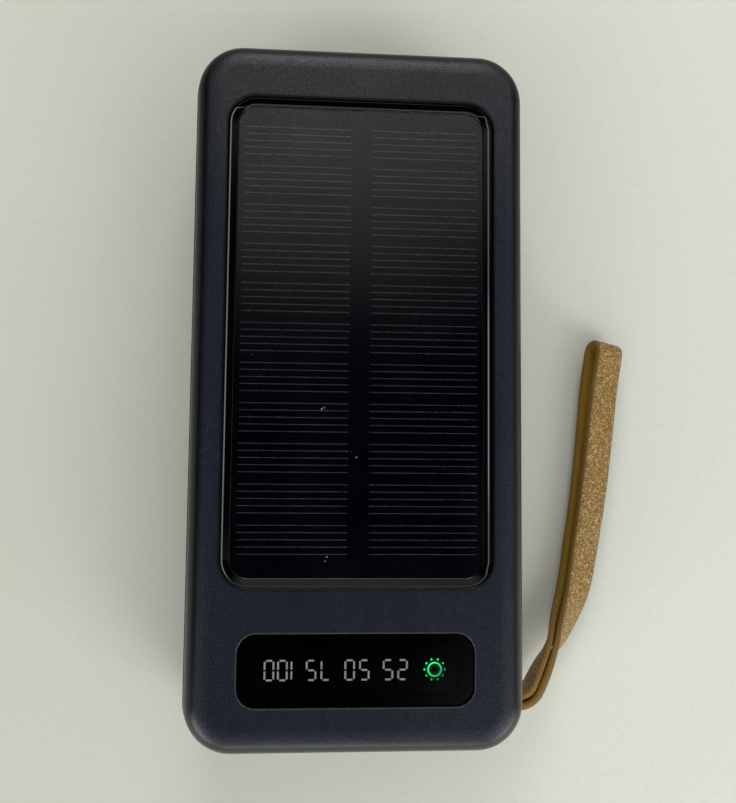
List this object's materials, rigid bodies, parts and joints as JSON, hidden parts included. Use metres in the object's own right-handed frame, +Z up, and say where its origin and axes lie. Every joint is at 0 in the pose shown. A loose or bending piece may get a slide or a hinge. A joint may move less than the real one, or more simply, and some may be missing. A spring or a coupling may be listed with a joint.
{
  "type": "solar power bank",
  "caption": "Pocket solar power bank: rounded black case, flush solar panel, smoked display window with lit charge levels, end sockets, side button and a looped wrist strap.",
  "frame": {"origin": "centre of the underside, on the surface that the case lies on", "axes": "+X across the width towards the strap's side, +Y along the length away from the display, +Z up out of the solar panel"},
  "size_m": [0.0953, 0.145, 0.028],
  "materials": {
    "cover_plastic": "fine cross-hatched satin",
    "shell_plastic": "fine matte grain",
    "border_plastic": "polished",
    "smoked_lens": "polished",
    "clear_laminate": "satin",
    "silicon": "satin",
    "black_laminate_board": "satin",
    "tape_white": "matte",
    "sign_white": "lit from behind",
    "sign_green": "lit from behind",
    "housing_plastic": "matte",
    "lamp_body": "satin",
    "circuit_board": "satin",
    "contact_metal": "bright",
    "pouch_foil": "satin",
    "foam": "matte",
    "nickel": "bright",
    "screw_steel": "zinc plated",
    "ferrite": "matte",
    "chip_plastic": "matte",
    "capacitor_can": "satin",
    "resistor_ceramic": "matte",
    "socket_steel": "bright",
    "tongue_black": "matte",
    "tongue_white": "matte",
    "button_plastic": "satin",
    "switch_plastic": "matte",
    "wire_red": "satin",
    "wire_black": "satin",
    "pin_steel": "bright",
    "strap_leatherette": "glittered"
  },
  "bodies": {
    "case": {"rear_shell": "shell_plastic", "front_cover": "cover_plastic", "case_screws": "screw_steel", "panel_bezel": "border_plastic", "panel_tape": "tape_white", "panel_backsheet": "black_laminate_board", "panel_laminate": "clear_laminate", "solar_cells": "silicon", "display_lens": "smoked_lens", "level_numbers": "sign_white", "sun_sign": "sign_green", "display_housing": "housing_plastic", "display_lamps": "lamp_body", "display_board": "circuit_board", "display_pins": "contact_metal", "lower_battery_cell": "pouch_foil", "upper_battery_cell": "pouch_foil", "lower_foam_pad": "foam", "battery_tape_sheet": "tape_white", "upper_foam_pad": "foam", "battery_tabs": "nickel", "main_board": "circuit_board", "board_screws": "screw_steel", "power_inductor": "ferrite", "charge_controller_chip": "chip_plastic", "processor_chip": "chip_plastic", "capacitors": "capacitor_can", "chip_resistors": "resistor_ceramic", "left_usb_port_sleeve": "socket_steel", "left_usb_port_tongue": "tongue_white", "micro_charge_port_sleeve": "socket_steel", "micro_charge_port_tongue": "tongue_black", "oval_charge_port_sleeve": "socket_steel", "oval_charge_port_tongue": "tongue_black", "right_usb_port_sleeve": "socket_steel", "right_usb_port_tongue": "tongue_white", "button_switch": "switch_plastic", "panel_wire_positive": "wire_red", "panel_wire_negative": "wire_black", "battery_wire_positive": "wire_red", "battery_wire_negative": "wire_black", "strap_pin": "pin_steel"},
    "button": {"power_button": "button_plastic", "switch_plunger": "switch_plastic"},
    "strap": {"wrist_strap": "strap_leatherette"}
  },
  "joints": [
    {"name": "button_press", "type": "slide", "parent": "case", "child": "button", "axis": [1, 0, 0], "range_m": [0, 0.0004], "stiffness_N_per_m": 500, "springref_m": -0.002},
    {"name": "strap_swing", "type": "hinge", "parent": "case", "child": "strap", "pos_m": [0.0293, -0.0668, 0.0074], "axis": [0, 0, 1], "range_deg": [-60, 12]}
  ]
}
